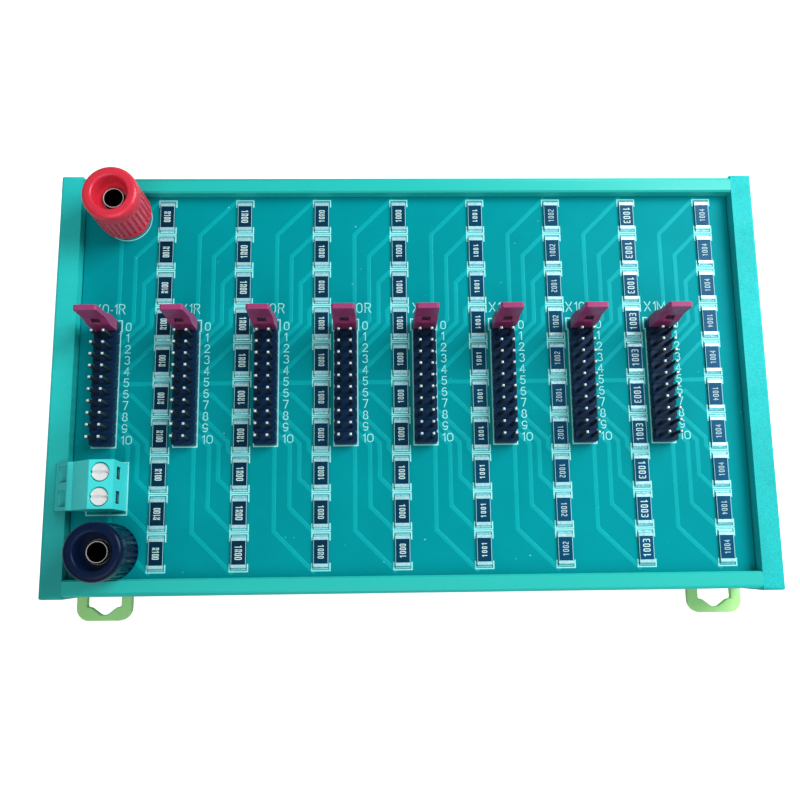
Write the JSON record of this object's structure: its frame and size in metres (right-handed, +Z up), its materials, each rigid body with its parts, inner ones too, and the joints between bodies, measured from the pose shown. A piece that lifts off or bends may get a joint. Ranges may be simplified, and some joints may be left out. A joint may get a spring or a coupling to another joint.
{
  "type": "resistance box",
  "caption": "Resistance box: board with jumper-selected decades of chip resistors in an extruded rail-mount carrier, with ribbed binding posts and a screw terminal.",
  "frame": {"origin": "centre of the bounding box's base, on the plane that the rail feet stand on", "axes": "+X along the channel to the right, +Y across it away from the latch loops, +Z up out of the board"},
  "size_m": [0.1572, 0.0996, 0.0444],
  "materials": {
    "carrier": "semi-gloss extruded turquoise green plastic",
    "end_cap": "satin moulded turquoise green plastic",
    "board": "teal solder mask, satin",
    "header": "black moulded plastic",
    "pin": "bright tin",
    "chip": "dark glaze on ceramic",
    "tin": "bright tin",
    "jumper": "dark red plastic, satin",
    "contact": "bright",
    "red_plastic": "glossy red plastic",
    "black_plastic": "glossy black plastic",
    "nickel": "nickel plated",
    "terminal": "satin turquoise plastic",
    "screw": "bright zinc",
    "steel": "plated steel",
    "foot": "satin lime plastic"
  },
  "bodies": {
    "base": {"carrier_profile": "carrier", "end_cap_left": "end_cap", "end_cap_right": "end_cap", "circuit_board": "board", "header_body_1": "header", "header_body_2": "header", "header_body_3": "header", "header_body_4": "header", "header_body_5": "header", "header_body_6": "header", "header_body_7": "header", "header_body_8": "header", "header_pins": "pin", "resistors_1": "chip", "resistors_2": "chip", "resistors_3": "chip", "resistors_4": "chip", "resistors_5": "chip", "resistors_6": "chip", "resistors_7": "chip", "resistors_8": "chip", "resistor_terminals": "tin", "red_stud": "nickel", "red_collar": "red_plastic", "black_stud": "nickel", "black_collar": "black_plastic", "post_nuts": "nickel", "terminal_housing": "terminal", "terminal_pins": "tin", "rail_foot_left": "foot", "rail_foot_right": "foot"},
    "jumper_1": {"jumper_cap_1": "jumper", "jumper_contact_1": "contact"},
    "jumper_2": {"jumper_cap_2": "jumper", "jumper_contact_2": "contact"},
    "jumper_3": {"jumper_cap_3": "jumper", "jumper_contact_3": "contact"},
    "jumper_4": {"jumper_cap_4": "jumper", "jumper_contact_4": "contact"},
    "jumper_5": {"jumper_cap_5": "jumper", "jumper_contact_5": "contact"},
    "jumper_6": {"jumper_cap_6": "jumper", "jumper_contact_6": "contact"},
    "jumper_7": {"jumper_cap_7": "jumper", "jumper_contact_7": "contact"},
    "jumper_8": {"jumper_cap_8": "jumper", "jumper_contact_8": "contact"},
    "red_thread": {"red_insert": "nickel"},
    "red_grip": {"red_knob": "red_plastic"},
    "black_thread": {"black_insert": "nickel"},
    "black_grip": {"black_knob": "black_plastic"},
    "screw_1": {"terminal_screw_1": "screw"},
    "cage_1": {"terminal_cage_1": "steel"},
    "screw_2": {"terminal_screw_2": "screw"},
    "cage_2": {"terminal_cage_2": "steel"},
    "latch_left": {"foot_latch_left": "foot"},
    "latch_right": {"foot_latch_right": "foot"}
  },
  "joints": [
    {"name": "jumper_pull_1", "type": "slide", "parent": "base", "child": "jumper_1", "axis": [0, 0, 1], "range_m": [0, 0.012]},
    {"name": "jumper_pull_2", "type": "slide", "parent": "base", "child": "jumper_2", "axis": [0, 0, 1], "range_m": [0, 0.012]},
    {"name": "jumper_pull_3", "type": "slide", "parent": "base", "child": "jumper_3", "axis": [0, 0, 1], "range_m": [0, 0.012]},
    {"name": "jumper_pull_4", "type": "slide", "parent": "base", "child": "jumper_4", "axis": [0, 0, 1], "range_m": [0, 0.012]},
    {"name": "jumper_pull_5", "type": "slide", "parent": "base", "child": "jumper_5", "axis": [0, 0, 1], "range_m": [0, 0.012]},
    {"name": "jumper_pull_6", "type": "slide", "parent": "base", "child": "jumper_6", "axis": [0, 0, 1], "range_m": [0, 0.012]},
    {"name": "jumper_pull_7", "type": "slide", "parent": "base", "child": "jumper_7", "axis": [0, 0, 1], "range_m": [0, 0.012]},
    {"name": "jumper_pull_8", "type": "slide", "parent": "base", "child": "jumper_8", "axis": [0, 0, 1], "range_m": [0, 0.012]},
    {"name": "red_knob_rise", "type": "slide", "parent": "base", "child": "red_thread", "axis": [0, 0, 1], "range_m": [0, 0.004]},
    {"name": "red_knob_turn", "type": "hinge", "parent": "red_thread", "child": "red_grip", "pos_m": [-0.06409, 0.04076, 0.0365], "axis": [0, 0, 1], "range_deg": [0, 1440]},
    {"name": "black_knob_rise", "type": "slide", "parent": "base", "child": "black_thread", "axis": [0, 0, 1], "range_m": [0, 0.004]},
    {"name": "black_knob_turn", "type": "hinge", "parent": "black_thread", "child": "black_grip", "pos_m": [-0.06409, -0.03424, 0.0365], "axis": [0, 0, 1], "range_deg": [0, 1440]},
    {"name": "terminal_screw_turn_1", "type": "hinge", "parent": "base", "child": "screw_1", "pos_m": [-0.06486, -0.01795, 0.0365], "axis": [0, 0, -1], "range_deg": [0, 1080]},
    {"name": "terminal_cage_rise_1", "type": "slide", "parent": "base", "child": "cage_1", "axis": [0, 0, 1], "range_m": [0, 0.0015]},
    {"name": "terminal_screw_turn_2", "type": "hinge", "parent": "base", "child": "screw_2", "pos_m": [-0.06486, -0.02303, 0.0365], "axis": [0, 0, -1], "range_deg": [0, 1080]},
    {"name": "terminal_cage_rise_2", "type": "slide", "parent": "base", "child": "cage_2", "axis": [0, 0, 1], "range_m": [0, 0.0015]},
    {"name": "latch_pull_left", "type": "slide", "parent": "base", "child": "latch_left", "axis": [0, -1, 0], "range_m": [0, 0.003], "stiffness_N_per_m": 800, "springref_m": -0.001},
    {"name": "latch_pull_right", "type": "slide", "parent": "base", "child": "latch_right", "axis": [0, -1, 0], "range_m": [0, 0.003], "stiffness_N_per_m": 800, "springref_m": -0.001}
  ],
  "couplings": [
    {"joint": "red_knob_turn", "follows": "red_knob_rise", "rad_per_m": 6283.2},
    {"joint": "black_knob_turn", "follows": "black_knob_rise", "rad_per_m": 6283.2},
    {"joint": "terminal_screw_turn_1", "follows": "terminal_cage_rise_1", "rad_per_m": 12566},
    {"joint": "terminal_screw_turn_2", "follows": "terminal_cage_rise_2", "rad_per_m": 12566}
  ]
}
